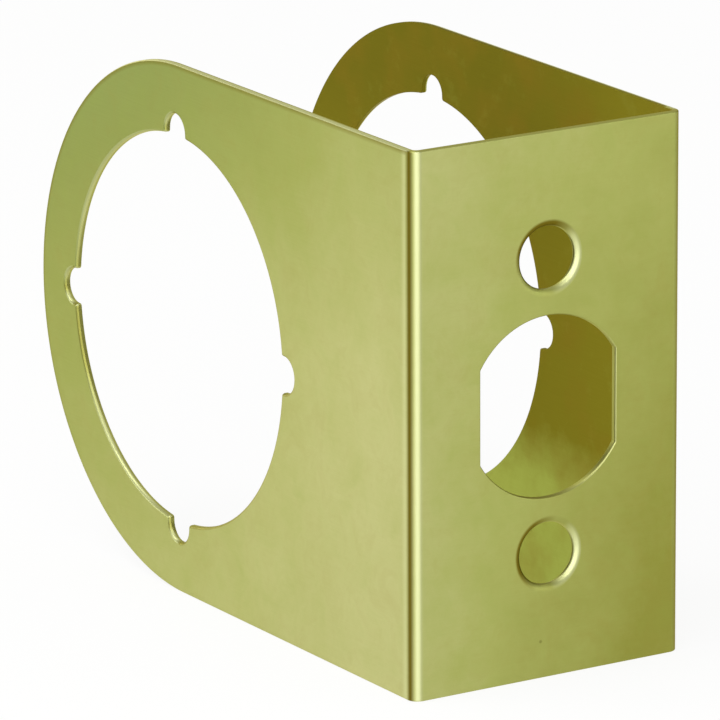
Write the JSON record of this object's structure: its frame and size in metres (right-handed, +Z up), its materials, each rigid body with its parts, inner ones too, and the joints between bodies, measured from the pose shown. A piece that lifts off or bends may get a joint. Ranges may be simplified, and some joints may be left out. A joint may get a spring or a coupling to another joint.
{
  "type": "door reinforcer plate",
  "caption": "Folded brass sheet that wraps a door's edge at the lock, with a notched cross bore through both legs, a double-D latch hole and screw holes.",
  "frame": {"origin": "on the axis of the cross bore, midway between the two legs", "axes": "+X along the cross bore, across the door's thickness; +Y from the edge plate towards the legs' round ends; +Z up"},
  "size_m": [0.0432, 0.0984, 0.0762],
  "materials": {
    "reinforcer_plate": "satin, fine brushed sheet"
  },
  "bodies": {
    "root": {"reinforcer_plate": "reinforcer_plate"}
  },
  "joints": []
}
